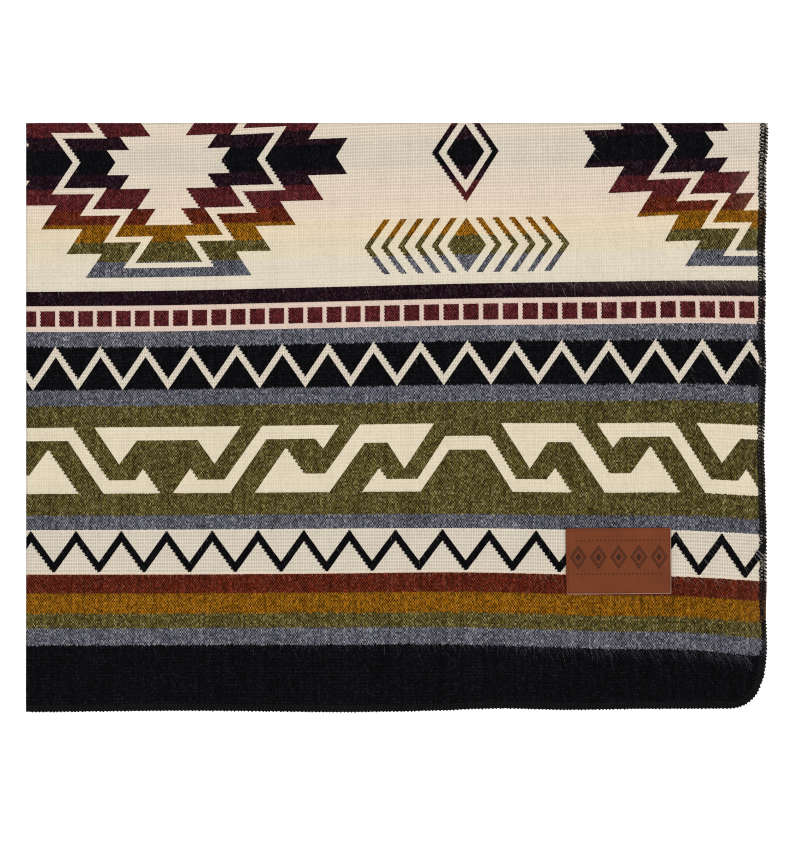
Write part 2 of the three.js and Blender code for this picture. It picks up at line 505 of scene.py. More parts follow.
# Pattern sizes, in millimetres
TOOTH = 0.9
TOOTH_ACROSS = 0.56
TOOTH_ALONG = 0.83
ZIGZAG_STEP = REPEAT / 13
ZIGZAG_TIP = 107.0
SQUARE_STEP = REPEAT / 31
SQUARE_WIDTH = 11.5
SQUARE_SHIFT = 2.5
DIAMOND_SLOPE = 0.665
DIAMOND_OUTER_SLOPE = 0.65
CLOSED = -300.0
DIAMOND_HEART = [(0, 40.2), (10.1, 29.6), (21.2, 13.3), (37.2, 9.7), (50.1, CLOSED)]
DIAMOND_LINE_IN = [(0, 67.3), (20.2, 47.2), (37.0, 27.3), (58.9, 12.2), (79.5, CLOSED)]
DIAMOND_LINE_OUT = [(0, 73.1), (24.9, 56.7), (42.0, 36.6), (63.2, 21.6), (83.4, CLOSED)]
DIAMOND_OUTER = [
    (0, 127.9), (14.1, 106.5), (33.6, 85.8), (52.5, 66.5), (72.0, 51.8), (90.8, CLOSED),
]
SMALL_LEAN = 0.675
SMALL_OUTER = 25.7
SMALL_RING_IN = 20.5
SMALL_CORE = 14.6
CHEVRON_ROW = DIAMOND_ROW - 71.2
CHEVRON_HALF_HEIGHT = 21.4
CHEVRON_FIRST = 21.3
CHEVRON_STEP = 12.56
CHEVRON_WIDTH = 4.85
CHEVRON_LAST = 78.0
# The two zigzags: how much they rise, the height that they start from, half their width
PEAKS_RISE, PEAKS_FOOT, PEAKS_HALF_LINE = 25.6, 251.65, 4.1
ZIGZAG_RISE, ZIGZAG_FOOT, ZIGZAG_HALF_LINE = -24.1, 134.2, 4.55
ZIGZAG_CUT = 137.2
# (how near its upper corner a part of the black line's tip lies, from, to)
ZIGZAG_TIPS = [(0.11, 135.2, 136.9), (0.06, 136.0, 138.3)]
MEANDER_LOW = 167.4
MEANDER_HIGH = 218.6
MEANDER_OUTLINES = [
    [(-10, MEANDER_HIGH), (56.0, MEANDER_HIGH), (36.4, 189.9), (23.1, 208.3), (-10, 208.3)],
    [
        (4.9, MEANDER_LOW), (18.1, 186.5), (24.0, 177.6), (44.2, 177.6), (72.5, MEANDER_HIGH),
        (131.3, MEANDER_HIGH), (119.2, 200.7), (112.8, 208.3), (75.8, 208.3), (48.3, MEANDER_LOW),
    ],
    [
        (67.5, MEANDER_LOW), (90.7, 201.7), (105.2, 181.6), (121.1, 181.6), (147.3, MEANDER_HIGH),
        (202.6, MEANDER_HIGH), (181.0, 184.7), (168.1, 204.6), (150.9, 204.6),
        (124.4, MEANDER_LOW),
    ],
    [
        (149.6, MEANDER_LOW), (162.2, 185.3), (168.4, 176.9), (190.8, 176.9), (211.0, 209.1),
        (240, 209.1), (240, 198.8), (214.0, 198.8), (193.3, MEANDER_LOW),
    ],
]


def triangle_wave(across, step):
    """0 at every whole step and 1 midway between."""
    share = across.scaled(1 / step, 0).wrapped(1.0)
    return 1 - abs(share.scaled(2.0, -1.0))


def motif_mask(across, height, stepped):
    """1 where the coloured weft lies on the face, 0 where the cream warp does."""
    in_repeat = abs((across + HALF_REPEAT).wrapped(REPEAT) - HALF_REPEAT)
    from_small = HALF_REPEAT - in_repeat
    from_row = abs(height - DIAMOND_ROW)
    row_steps = abs(stepped - DIAMOND_ROW)
    heart, line_in, line_out = (
        stairs(from_row, row_steps, DIAMOND_SLOPE, rows)
        for rows in (DIAMOND_HEART, DIAMOND_LINE_IN, DIAMOND_LINE_OUT)
    )
    outer = stairs(from_row, row_steps, DIAMOND_OUTER_SLOPE, DIAMOND_OUTER)
    big = any_of(between(in_repeat, heart, line_in), between(in_repeat, line_out, outer))
    small_reach = from_small + row_steps * SMALL_LEAN
    small = any_of(small_reach < SMALL_CORE, between(small_reach, SMALL_RING_IN, SMALL_OUTER))
    chevron_reach = from_small + abs(stepped - CHEVRON_ROW) * SMALL_LEAN
    stripe = (chevron_reach - CHEVRON_FIRST).wrapped(CHEVRON_STEP) < CHEVRON_WIDTH
    chevrons = any_of(
        stripe * between(chevron_reach, CHEVRON_FIRST, CHEVRON_LAST), chevron_reach < SMALL_CORE
    )
    chevrons = chevrons * (abs(height - CHEVRON_ROW) < CHEVRON_HALF_HEIGHT)
    field = any_of(big, small, chevrons) * (height > PLUM_TO)

    meander = inside_outlines(in_repeat, height, stepped, MEANDER_OUTLINES)
    peaks = triangle_wave(across, ZIGZAG_STEP)
    cream_line = abs(stepped - peaks.scaled(PEAKS_RISE, PEAKS_FOOT)) < PEAKS_HALF_LINE
    cream_line = cream_line * between(height, GREY_3_TO, PEAKS_TO + 1.0)
    black_line = abs(stepped - peaks.scaled(ZIGZAG_RISE, ZIGZAG_FOOT)) < ZIGZAG_HALF_LINE
    black_line = black_line * between(height, ZIGZAG_TIP, ZIGZAG_CUT)
    for near, low, high in ZIGZAG_TIPS:
        black_line = any_of(black_line, (peaks < near) * between(height, low, high))
    gap = abs((across - SQUARE_SHIFT).scaled(1 / SQUARE_STEP, 0.5).wrapped(1.0) - 0.5)
    square = gap > (1 - SQUARE_WIDTH / SQUARE_STEP) / 2
    solid = any_of(
        height < RUST_TO,
        between(height, ZIGZAG_TO, GREY_4_TO),
        between(height, LINE_2_TO, PLUM_TO),
        between(height, RUST_TO, ZIGZAG_TO) * black_line,
        between(height, LINE_1_TO, SQUARES_TO) * square,
    )
    border = solid * (1 - any_of(meander, cream_line))
    return any_of(border, field)


def band_colour(tree, position, bands, column):
    """Colour by position, from (yarn, start) rows and a column of YARNS."""
    result = (*YARNS[bands[0][0]][column], 1.0)
    for yarn, start in bands[1:]:
        result = colour_mix(tree, position > start, result, (*YARNS[yarn][column], 1.0))
    return result


def colour_mix(tree, share, low, high, blend="MIX"):
    node = tree.nodes.new("ShaderNodeMix")
    node.data_type = "RGBA"
    node.blend_type = blend
    feed_all(tree, node, ((0, share), (6, low), (7, high)))
    return node.outputs[2]


def shaded(tree, colour, value):
    """The colour, lighter or darker by a number."""
    return colour_mix(tree, 1.0, colour, vector_of(tree, value, value, value), blend="MULTIPLY")


def vector_of(tree, x, y, z=0.0):
    node = tree.nodes.new("ShaderNodeCombineXYZ")
    feed_all(tree, node, enumerate((x, y, z)))
    return node.outputs[0]


def noise(tree, vector, scale, detail=2.0, roughness=0.5):
    node = tree.nodes.new("ShaderNodeTexNoise")
    settings = (("Scale", scale), ("Detail", detail), ("Roughness", roughness))
    feed_all(tree, node, (*settings, ("Vector", vector)))
    return Number(tree, node.outputs["Fac"])


def chance(tree, vector):
    """A fixed random number for each whole-numbered place."""
    node = tree.nodes.new("ShaderNodeTexWhiteNoise")
    node.noise_dimensions = "3D"
    tree.links.new(vector, node.inputs["Vector"])
    return Number(tree, node.outputs["Value"])


# Places across the cloth, in thread coordinates, where the brushing begins to tell and where it
# is full: over the right part, in the last bit before the sewn edge, and over the last reds
RIGHT_PART = (250, 470)
LAST_BIT = (426, 452)
LAST_REDS = (420, 436)


def pattern_group():
    """Node group: thread coordinates in, cloth colour, loose fibre colour and relief out."""
    tree = bpy.data.node_groups.new("woven_pattern", "ShaderNodeTree")
    for name, way, kind in (
        ("Cloth", "INPUT", "Vector"), ("Reverse", "INPUT", "Float"), ("Color", "OUTPUT", "Color"),
        ("Fibre", "OUTPUT", "Color"), ("Relief", "OUTPUT", "Float"),
    ):
        tree.interface.new_socket(name, in_out=way, socket_type="NodeSocket" + kind)
    source = tree.nodes.new("NodeGroupInput")
    result = tree.nodes.new("NodeGroupOutput")
    split = tree.nodes.new("ShaderNodeSeparateXYZ")
    tree.links.new(source.outputs["Cloth"], split.inputs[0])
    reverse = Number(tree, source.outputs["Reverse"])
    across = Number(tree, split.outputs[0]).scaled(1 / MM, 0)
    height = Number(tree, split.outputs[1]).scaled(1 / MM, 0)
    thread_across = across.scaled(1 / WARP, 0)
    thread_along = height.scaled(1 / WEFT, 0)
    column = thread_across.floor()
    row = thread_along.floor()
    near_right = across.ramp(*RIGHT_PART)
    by_rim = across.ramp(*LAST_BIT)
    thread_luck = chance(tree, vector_of(tree, column, row))
    column_luck = chance(tree, vector_of(tree, column, 0.5))
    row_luck = chance(tree, vector_of(tree, row, 7.5))
    odd_luck = chance(tree, vector_of(tree, column, row, 4.5))
    streak = noise(tree, vector_of(tree, across * 0.26, height * 0.012), 1.0, 4.0, 0.6)
    cloud = noise(tree, vector_of(tree, across, height), 0.045, 3.0)
    fuzz = noise(tree, vector_of(tree, across + height * 0.5, height * 0.35), 1.7, 2.0)
    swept = noise(tree, vector_of(tree, across + height * 0.5, height * 0.09), 0.9, 2.0) - 0.5

    # brushing drags each row's yarn a little over its neighbours, down and to the right
    drag_at = vector_of(tree, across + height * 0.55, height * 0.16)
    drag = noise(tree, drag_at, 1.1, 2.0) - 0.5
    dragged = height + drag * near_right.scaled(1.7, 0.9)
    # two yarns mix by the thread where one takes over from the other
    blended = height + drag * near_right.scaled(4.0, 2.6)
    blended = blended + (thread_luck - 0.5) * 1.1 + (column_luck - 0.5) * 0.5
    # a coloured shape has smooth edges, apart from its lower left ones, where every
    # other row reaches further
    odd_row = dragged.scaled(1 / WEFT, 0).floor().wrapped(2.0) > 0.5
    reach = odd_row.scaled(TOOTH, -TOOTH / 2)
    plain = motif_mask(across, dragged, dragged)
    shifted = motif_mask(across + reach * TOOTH_ACROSS, dragged, dragged + reach * TOOTH_ALONG)
    toothed = odd_row * plain.largest(shifted) + (1 - odd_row) * plain.smallest(shifted)
    mask = abs(toothed - reverse)

    from_row = abs(dragged - DIAMOND_ROW)
    blend_row = abs(blended - DIAMOND_ROW)
    in_field = dragged > PLUM_TO
    colours = []
    for table_column in (WEFT_COLUMN, ODD_COLUMN, CREAM_COLUMN):
        border = band_colour(tree, blended, BORDER_BANDS, table_column)
        field = band_colour(tree, blend_row, FIELD_BANDS, table_column)
        colours.append(colour_mix(tree, in_field, border, field))
    weft, odd, cream = colours
    cream = colour_mix(tree, between(dragged, GREY_4_TO, LINE_2_TO), cream, ROSY_CREAM)

    # coloured cloth: coloured and dark threads by turns, softened by the brushing
    is_black = any_of(
        blended < BLACK_TO,
        between(blended, RUST_TO, ZIGZAG_TO),
        between(blended, GREY_3_TO, PEAKS_TO),
    )
    # the red and golden yarns hide the dark threads better
    is_warm = any_of(
        between(blended, OLIVE_1_TO, RUST_TO),
        between(blended, GREY_4_TO, LINE_2_TO),
        between(blend_row, FIELD_BURGUNDY_FROM, FIELD_OLIVE_FROM) * in_field,
    )
    mixed = colour_mix(tree, odd_luck.to_power(3.0) + (fuzz - 0.5) * 0.25, weft, odd)
    dark = colour_mix(tree, 0.05, DARK_THREAD, mixed)
    checker = (column + row).wrapped(2.0)
    order = checker * (1 - is_black) + row.wrapped(2.0).scaled(0.5, 0.2) * is_black
    crisp = near_right.scaled(-0.14, 0.86) - by_rim * 0.4 - is_warm * 0.2
    luck = (thread_luck - 0.5) * (by_rim.scaled(-0.5, 1.05) - is_warm * 0.25)
    share = order * crisp + (0.49 - crisp * 0.5) + luck
    share = share + (fuzz - 0.5) * near_right.scaled(0.8, 0.5)
    coloured = colour_mix(tree, share.clipped(1.3), dark, mixed)
    # cream fibres lie over the plum band below the open field, more of them to the right,
    # and over the reds of the last diamond, beside the sewn edge
    under_field = height.ramp(PLUM_TO - 10, PLUM_TO) * (height < PLUM_TO)
    over_red = between(blend_row, FIELD_BURGUNDY_FROM, FIELD_GOLD_FROM) * in_field
    last_reds = across.ramp(*LAST_REDS)
    haze = under_field * near_right * swept.scaled(1.0, 0.2).largest(0.0) * 0.24
    haze = haze + over_red * last_reds * last_reds * swept.scaled(0.1, 0.026).largest(0.0)
    coloured = colour_mix(tree, haze + by_rim * (1 - is_black) * 0.007, coloured, cream)
    uneven = streak.scaled(1.45, 0.275) * cloud.scaled(0.5, 0.75)
    uneven = uneven * (swept * (near_right.scaled(0.8, 0.2) + by_rim * 0.7) + 1.0)
    uneven = uneven * (near_right * (height < OLIVE_TO)).scaled(-0.12, 1.0)
    uneven = uneven * (column_luck * 0.18 + row_luck * 0.14 + 0.84)
    coloured = shaded(tree, coloured, uneven)

    # cream cloth: the weft shows as dots at every other thread, and more in the field's
    # darker rows
    even_column = column.wrapped(2.0) < 0.5
    even_row = row.wrapped(2.0) < 0.5
    dot = even_column * even_row * 0.36 + (even_column + even_row) * 0.15
    dot_strength = from_row.scaled(-0.005, 0.30).clipped(0.2) + is_black * 0.24 + 0.24
    dotted = colour_mix(tree, dot * dot_strength + fuzz * 0.05, cream, weft)
    shade = column_luck * 0.05 + row_luck * 0.05 + thread_luck * 0.06 + 0.92
    dotted = shaded(tree, dotted, shade * cloud.scaled(0.16, 0.92))
    tree.links.new(colour_mix(tree, mask, dotted, coloured), result.inputs["Color"])
    tree.links.new(colour_mix(tree, mask, cream, mixed), result.inputs["Fibre"])

    # each thread is round, and warp and weft come up by turns
    over_column = abs(thread_across.wrapped(1.0) - 0.5) * 2.0
    over_row = abs(thread_along.wrapped(1.0) - 0.5) * 2.0
    round_column = 1 - over_column * over_column
    round_row = 1 - over_row * over_row
    relief_height = checker * round_row + (1 - checker) * round_column + fuzz * 0.8
    feed(tree, result.inputs["Relief"], relief_height)
    return tree


def new_material(name, settings):
    """A material, its node tree and its shader, with the given sockets set."""
    material = bpy.data.materials.new(name)
    material.use_nodes = True
    tree = material.node_tree
    tree.nodes.clear()
    output = tree.nodes.new("ShaderNodeOutputMaterial")
    shader = tree.nodes.new("ShaderNodeBsdfPrincipled")
    tree.links.new(shader.outputs[0], output.inputs[0])
    feed_all(tree, shader, settings.items())
    return material, tree, shader


def add_bump(tree, shader, height, strength, distance):
    bump = tree.nodes.new("ShaderNodeBump")
    settings = (("Strength", strength), ("Distance", distance * MM), ("Height", height))
    feed_all(tree, bump, settings)
    tree.links.new(bump.outputs[0], shader.inputs["Normal"])


def attribute_number(tree, name):
    node = tree.nodes.new("ShaderNodeAttribute")
    node.attribute_name = name
    return Number(tree, node.outputs["Fac"])


def pattern_node(tree, pattern, reverse):
    """The woven pattern, read at the cloth coordinates that the mesh carries."""
    place = tree.nodes.new("ShaderNodeUVMap")
    place.uv_map = "cloth"
    group = tree.nodes.new("ShaderNodeGroup")
    group.node_tree = pattern
    feed_all(tree, group, (("Reverse", reverse), ("Cloth", place.outputs[0])))
    return group


def wool_material(name, pattern, reverse):
    material, tree, shader = new_material(name, {
        "Roughness": 0.95, "Specular IOR Level": 0.02, "Sheen Weight": 0.012, "Sheen Roughness": 0.5,
    })
    group = pattern_node(tree, pattern, reverse)
    # darkens the cloth by the sewn edge: painted shade, with dark fluff off the yarn
    shade_and_fluff = attribute_number(tree, "shade_and_fluff") * SHADE_AND_FLUFF_STRENGTH
    colour = colour_mix(tree, shade_and_fluff, group.outputs["Color"], SHADE_AND_FLUFF_COLOUR)
    tree.links.new(colour, shader.inputs["Base Color"])
    add_bump(tree, shader, group.outputs["Relief"], 0.55, 0.28)
    return material


# Overlock yarn

STITCH_PITCH = 2.7
YARN_RADIUS = 0.56
# (distance in from the edge, the yarn's radius there)
YARN_PLUMPNESS = [(0.0, 0.42), (0.7, 0.57), (1.7, 0.68), (3.0, YARN_RADIUS)]
YARN_SIDES = 6
YARN_FLATTEN = 0.8
SPINE_INSET = 2.6
# One stitch: share of the pitch along the edge, distance in from it, and the side of the
# cloth it lies on (1 face, 0 at the very edge, -1 underneath)
STITCH = [
    (0.00, 2.8, 1.0), (-0.08, 4.0, 0.95), (0.08, 5.2, 0.9), (0.48, 5.2, 0.9), (0.64, 4.1, 1.0),
    (0.72, 2.6, 1.1), (1.02, 1.6, 1.05), (1.30, 0.7, 0.85), (1.40, 0.15, 0.2),
    (1.20, -0.05, -0.3), (1.10, 0.9, -0.9), (1.05, 2.5, 0.0),
]


def edge_path():
    """Points of the sewn outline, from the back right corner round to the front left one."""
    side_heights = np.arange(SHEET_DEPTH, CORNER_RADIUS, -1.0)
    turns = np.linspace(0, np.pi / 2, 60)
    corner_heights = CORNER_RADIUS * (1 - np.sin(turns))
    corner_x = side_line(corner_heights) - CORNER_RADIUS * (1 - np.cos(turns))
    front_x = np.arange(corner_x[-1] - 1.0, LEFT, -1.0)
    x = np.concatenate([side_line(side_heights), corner_x, front_x])
    height = np.concatenate([side_heights, corner_heights, np.zeros_like(front_x)])
    y = FRONT + height + front_wave(x, height)
    # evened out, so that no two points lie on each other
    lengths = np.concatenate([[0], np.cumsum(np.hypot(np.diff(x), np.diff(y)))])
    even = np.linspace(0, lengths[-1], int(lengths[-1]))
    even_x = np.interp(even, lengths, x)
    even_y = np.interp(even, lengths, y)
    ahead_x = np.gradient(even_x)
    ahead_y = np.gradient(even_y)
    norm = np.hypot(ahead_x, ahead_y)
    return even, even_x, even_y, ahead_y / norm, -ahead_x / norm


def unit(vectors):
    return vectors / (np.linalg.norm(vectors, axis=-1, keepdims=True) + 1e-9)


def ring_round(first, second, sides):
    """Unit vectors all round a line, from two directions square to it."""
    turn = np.arange(sides)[:, None] * 2 * np.pi / sides
    return first[..., None, :] * np.cos(turn) + second[..., None, :] * np.sin(turn)


def tube_faces(rings, sides):
    """Side faces and end caps of a tube of that many rings."""
    index = np.arange(rings * sides).reshape(rings, sides)
    after = np.roll(index, -1, axis=1)
    quads = np.stack([index[:-1], index[1:], after[1:], after[:-1]], axis=2).reshape(-1, 4)
    return quads, np.array([index[0], index[-1, ::-1]])


def tube(centres, radii, sides, flatten=1.0):
    """Closed tube round a line of points. Returns its points and faces."""
    ahead = unit(np.gradient(centres, axis=0))
    first = np.cross(ahead, np.array([0.0, 0.0, 1.0]))
    for k in range(len(first)):
        if k > 0:
            first[k] = first[k - 1] - ahead[k] * np.dot(first[k - 1], ahead[k])
        first[k] = unit(first[k])
    ring = ring_round(first, np.cross(ahead, first), sides)
    ring[:, :, 2] *= flatten
    points = centres[:, None, :] + ring * np.asarray(radii).reshape(-1, 1, 1)
    quads, caps = tube_faces(len(centres), sides)
    return points.reshape(-1, 3), quads.tolist() + caps.tolist()


def joined(parts):
    """Points and faces of several closed shapes in one list."""
    points, faces, start = [], [], 0
    for part_points, part_faces in parts:
        points.append(part_points)
        faces += [[corner + start for corner in face] for face in part_faces]
        start += len(part_points)
    return np.concatenate(points), faces


def around_edge(outline, run, inset, side):
    """Places given along the sewn edge, in from it, and by side of the cloth."""
    lengths, *lines = outline
    edge_x, edge_y, inward_x, inward_y = (np.interp(run, lengths, line) for line in lines)
    inset = inset + edge_bulge(edge_y - FRONT)
    x = edge_x + inward_x * inset
    y = edge_y + inward_y * inset
    lift = edge_lift(x, y - FRONT)
    reach = CLOTH_THICKNESS / 2 + YARN_RADIUS * 0.4
    z = np.maximum(lift + CLOTH_THICKNESS / 2 + side * reach, lift + YARN_RADIUS * YARN_FLATTEN)
    return np.stack([x, y, z], axis=1)


def curve_through(knots, parts):
    """Catmull-Rom curve through the knots, each span cut into equal parts."""
    padded = np.concatenate([knots[:1], knots, knots[-1:]])
    p0, p1, p2, p3 = padded[:-3], padded[1:-2], padded[2:-1], padded[3:]
    result = [
        0.5 * (
            2 * p1 + (p2 - p0) * t + (2 * p0 - 5 * p1 + 4 * p2 - p3) * t**2
            + (3 * p1 - p0 - 3 * p2 + p3) * t**3
        )
        for t in np.arange(parts) / parts
    ]
    curve = np.stack(result, axis=1).reshape(-1, knots.shape[1])
    return np.concatenate([curve, knots[-1:]])


def make_overlock(material):
    outline = edge_path()
    seed = np.random.default_rng(11)
    stitches = int((outline[0][-1] - 4) / STITCH_PITCH)
    knots = []
    for stitch in range(stitches):
        height = np.interp(stitch * STITCH_PITCH, outline[0], outline[2]) - FRONT
        reach = along(SEWING_WIDTH, height) + seed.normal(0, 0.045)
        slip = seed.normal(0, 0.08)
        for share, inset, side in STITCH:
            run = (stitch + share + slip + 0.3) * STITCH_PITCH
            knots.append((run, inset * reach + seed.normal(0, 0.12), side))
    knots = np.array(knots)
    path = curve_through(knots, 2)
    looper = around_edge(outline, path[:, 0], path[:, 1], path[:, 2])
    radii = np.interp(path[:, 1], *np.transpose(YARN_PLUMPNESS))
    radii = radii * (1 + 0.1 * np.sin(np.arange(len(looper)) * 0.83))
    run = np.linspace(1.0, outline[0][-1] - 1.0, stitches * 4)
    wave = np.sin(2 * np.pi * run / STITCH_PITCH)
    spine = around_edge(outline, run, SPINE_INSET + 0.3 * wave, np.full_like(run, 0.95))
    spine_radii = np.full(len(spine), YARN_RADIUS)
    tubes = [tube(*line, YARN_SIDES, YARN_FLATTEN) for line in ((looper, radii), (spine, spine_radii))]
    points, faces = joined(tubes)
    piece = mesh_object("overlock_yarn", points, faces, material)
    across, along_cloth = cloth_coordinates(points[:, 0], points[:, 1] - FRONT)
    add_cloth_map(piece.data, across, along_cloth)
    return piece


def yarn_material(name, colour, pattern=None):
    """Sewing yarn. With a pattern, fibres of the cloth beside it cling to it."""
    settings = {"Roughness": 0.9, "Specular IOR Level": 0.08}
    material, tree, shader = new_material(name, settings)
    spot = tree.nodes.new("ShaderNodeTexCoord").outputs["Object"]
    fibres = noise(tree, spot, 1500.0, 3.0)
    clumps = noise(tree, spot, 260.0, 3.0)
    dark, light, dusty = (
        (*[part * factor + added for part in colour], 1)
        for factor, added in ((0.4, 0), (1.8, 0), (2.5, 0.006))
    )
    tint = colour_mix(tree, fibres.scaled(1.2, -0.1), dark, light)
    dust = (clumps.scaled(5.0, -2.9) * fibres).clipped()
    tint = colour_mix(tree, dust, tint, dusty)
    if pattern:
        group = pattern_node(tree, pattern, 0.0)
        cling = clumps.scaled(0.8, -0.41) * fibres.scaled(2.6, -0.3)
        tint = colour_mix(tree, cling, tint, group.outputs["Fibre"])
    tree.links.new(tint, shader.inputs["Base Color"])
    add_bump(tree, shader, fibres, 0.5, 0.15)
    return material


# A thread's loose loop beside the right edge: (x, y) from its end, up and back down again
LOOP_THREAD = [
    (277.8, -108.0), (275.4, -105.6), (273.2, -103.2), (273.3, -101.9), (274.8, -101.6),
    (276.8, -103.4), (279.0, -105.6),
]
LOOP_CORE = [(278.4, -106.9), (276.4, -104.8), (274.6, -102.9)]
# (piece, its points, radius, how high it lies above the cloth)
LOOP_PIECES = [("loop_thread", LOOP_THREAD, 0.27, 0.9), ("loop_core", LOOP_CORE, 0.8, 0.55)]


def make_loop(materials):
    """The loose loop: a light thread round a thicker dark core."""
    pieces = []
    for (name, knots, radius, rise), material in zip(LOOP_PIECES, materials):
        path = curve_through(np.array(knots), 5)
        centres = np.column_stack([path, surface_height(path[:, 0], path[:, 1]) + rise])
        points, faces = tube(centres, np.full(len(centres), radius), 8, 0.8)
        pieces.append(mesh_object(name, points, faces, material))
    return pieces


# Leather patch

PATCH_STEP = 0.42
PATCH_CORNER = 1.2
PATCH_EDGE_ROUND = 0.35
PATCH_SEAT = 3.05
LINE_INSET = 1.5
LINE_WIDTH = 0.35
LINE_DEPTH = 0.09
LINE_SHADE = 0.3
PRESS_DEPTH = 0.16
RHOMB_STEP = 15.4
RHOMB_COUNT = 5
RHOMB_HALF_WIDTH = 6.6
RHOMB_HALF_HEIGHT = 9.4
RHOMB_LINE = 0.75
# Sizes of the inner line and of the core, against the whole rhomb
RHOMB_MIDDLE = 0.68
RHOMB_CORE = 0.36
# Turns a distance along the row into one square to a rhomb's side
RHOMB_SQUARE_ON = 0.82
PRESS_EDGE = 0.3
RHOMB_ROW_Y = 3.2
DOT_STEP = 3.0
DOT_RADIUS = 0.62
DOT_SPAN = 34.0
DOT_ROWS = (-9.6, 15.8)
LEATHER = (0.138, 0.032, 0.0095)
LEATHER_LIGHT = (0.190, 0.046, 0.0135)
LEATHER_DEEP = (0.105, 0.025, 0.0085)
LEATHER_PRESSED = (0.038, 0.0105, 0.0045)
# lighter raw cut, used as a painted highlight on the edges that face the key lamp
LEATHER_CUT_HIGHLIGHT = (0.370, 0.235, 0.190)
CUT_HIGHLIGHT_REACH = 0.62


def ornament(x, y):
    """How deep the pressed ornament is, 0 to 1, at a place on the patch."""
    nearest = np.clip(np.round(x / RHOMB_STEP), -(RHOMB_COUNT // 2), RHOMB_COUNT // 2)
    u = np.abs(x - nearest * RHOMB_STEP) / RHOMB_HALF_WIDTH
    v = np.abs(y - RHOMB_ROW_Y) / RHOMB_HALF_HEIGHT
    rim, middle, core = (
        (size - (u + v)) * RHOMB_HALF_WIDTH * RHOMB_SQUARE_ON
        for size in (1, RHOMB_MIDDLE, RHOMB_CORE)
    )
    rim_line = 1 - smooth((np.abs(rim - 0.5) - RHOMB_LINE * 0.35) / PRESS_EDGE)
    middle_line = 1 - smooth((np.abs(middle) - RHOMB_LINE * 0.3) / PRESS_EDGE)
    pressed = np.maximum(np.maximum(rim_line, middle_line), smooth(core / PRESS_EDGE + 0.5))
    dot_x = x - np.round((x - DOT_STEP / 2) / DOT_STEP) * DOT_STEP - DOT_STEP / 2
    for row_y in DOT_ROWS:
        dot = 1 - smooth((np.hypot(dot_x, y - row_y) - DOT_RADIUS + 0.15) / PRESS_EDGE)
        pressed = np.maximum(pressed, dot * (np.abs(x) < DOT_SPAN))
    return pressed


def make_patch(material):
    columns = round(PATCH_WIDTH / PATCH_STEP)
    rows = round(PATCH_DEPTH / PATCH_STEP)
    u, v = np.meshgrid(np.linspace(-1, 1, columns + 1), np.linspace(-1, 1, rows + 1))
    half_x, half_y = PATCH_WIDTH / 2, PATCH_DEPTH / 2
    x, y = u * half_x, v * half_y
    # rounded corners: rows and columns near a corner are drawn in
    from_x, from_y = half_x - np.abs(x), half_y - np.abs(y)
    in_x = np.clip(PATCH_CORNER - from_x, 0, None)
    in_y = np.clip(PATCH_CORNER - from_y, 0, None)
    both = np.maximum(in_x, in_y) / (np.hypot(in_x, in_y) + 1e-9)
    corner = (in_x > 0) & (in_y > 0)
    x = np.where(corner, np.sign(x) * (half_x - PATCH_CORNER + in_x * both), x)
    y = np.where(corner, np.sign(y) * (half_y - PATCH_CORNER + in_y * both), y)
    rim = np.minimum(from_x, from_y)
    turn_over = np.clip(1 - rim / PATCH_EDGE_ROUND, 0, 1)
    drop = PATCH_EDGE_ROUND * (1 - np.sqrt(1 - turn_over**2))
    line = 1 - smooth((np.abs(rim - LINE_INSET) - LINE_WIDTH / 2) / PRESS_EDGE)
    pressed = ornament(x, y)
    warp = 0.10 * np.sin(x / 21 + 0.6) * np.cos(y / 17) + 0.05 * np.sin(x / 9 - y / 13)
    top = PATCH_THICKNESS + warp - drop - line * LINE_DEPTH - pressed * PRESS_DEPTH
    points, faces = slab(x, y, top, np.zeros_like(x))
    cos, sin = math.cos(PATCH_TURN), math.sin(PATCH_TURN)
    turned = points @ [[cos, sin, 0], [-sin, cos, 0], [0, 0, 1]]
    places = turned + [PATCH_X, PATCH_Y, PATCH_SEAT]
    piece = mesh_object("patch_leather", places, faces, material)
    shown = np.maximum(pressed, line * LINE_SHADE)
    # painted highlight: the lighter raw cut is drawn only along the right and front edges, the ones
    # that face the key lamp
    from_lit_cut = np.minimum(half_x - u * half_x, half_y + v * half_y)
    for name, values in (("pressed", shown), ("from_lit_cut", from_lit_cut)):
        add_values(piece, name, np.concatenate([values.ravel(), np.zeros(x.size)]))
    return piece


def leather_material():
    material, tree, shader = new_material("brown_leather", {"Specular IOR Level": 0.12})
    spot = tree.nodes.new("ShaderNodeTexCoord").outputs["Object"]
    pressed = attribute_number(tree, "pressed")
    from_lit_cut = attribute_number(tree, "from_lit_cut")
    cloud = noise(tree, spot, 45.0, 3.0)
    grain = noise(tree, spot, 900.0, 3.0)
    # painted highlight on the lighter cut, along the right and front edges only
    cut_highlight = (from_lit_cut < CUT_HIGHLIGHT_REACH) * cloud.scaled(1.2, 0.1)
    tone = (*LEATHER, 1)
    for share, colour in (
        (cloud.scaled(1.6, -0.3), LEATHER_LIGHT),
        (grain.scaled(0.5, -0.1), LEATHER_DEEP),
        (pressed * grain.scaled(0.45, 0.72), LEATHER_PRESSED),
        (cut_highlight, LEATHER_CUT_HIGHLIGHT),
    ):
        tone = colour_mix(tree, share, tone, (*colour, 1))
    tree.links.new(tone, shader.inputs["Base Color"])
    add_bump(tree, shader, grain, 0.35, 0.12)
    feed(tree, shader.inputs["Roughness"], grain.scaled(0.25, 0.45))
    return material


# Nap: loose fibres brushed down and to the right

HAIR_RINGS = 5
HAIR_SIDES = 3
HAIR_COUNT = 7000
HAIR_RADIUS = 0.027
NAP_ANGLE = math.radians(-62)
# Seams that lighter fibres hang over: height, how many, how far to the right they gather
HAIR_SEAMS = [(BLACK_TO, 0.04, 2.4), (RUST_TO, 0.004, 4.0), (PLUM_TO, 0.004, 4.0)]


